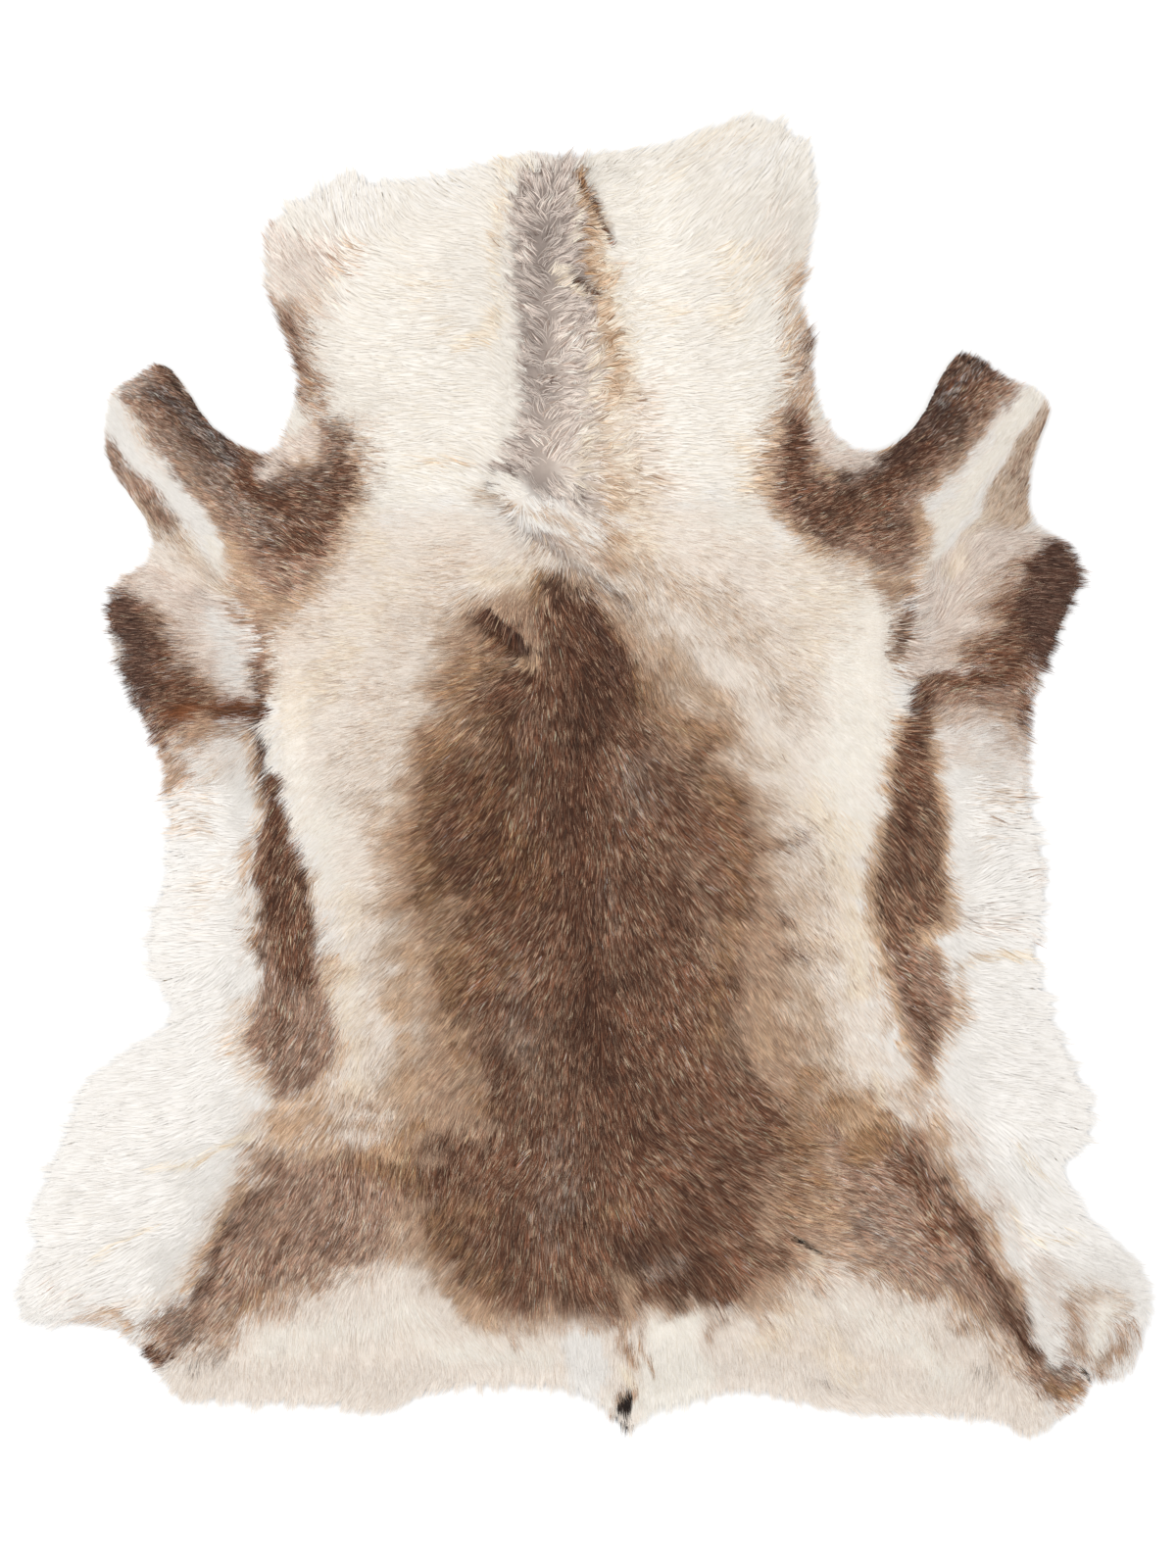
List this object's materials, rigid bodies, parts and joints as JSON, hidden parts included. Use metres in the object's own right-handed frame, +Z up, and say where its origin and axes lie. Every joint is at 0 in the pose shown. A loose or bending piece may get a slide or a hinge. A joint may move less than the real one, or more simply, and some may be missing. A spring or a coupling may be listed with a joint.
{
  "type": "reindeer hide",
  "caption": "Whole tanned reindeer hide with its hair on, laid flat hair side up: brown back, pale neck and flanks, spread leg pieces and a short tail.",
  "frame": {"origin": "on the surface the hide lies on, under the middle of its outline", "axes": "+Z up out of the hair, +Y from the tail to the neck, +X to the right when the neck points away"},
  "size_m": [1.0663, 1.2452, 0.0359],
  "materials": {
    "fur": "dense soft hair, brown on the back and cream to white on the neck, belly and groin",
    "skin_side": "matt off-white suede, the tanned flesh side under the hair"
  },
  "bodies": {
    "root": {"hide": "fur"}
  },
  "joints": []
}
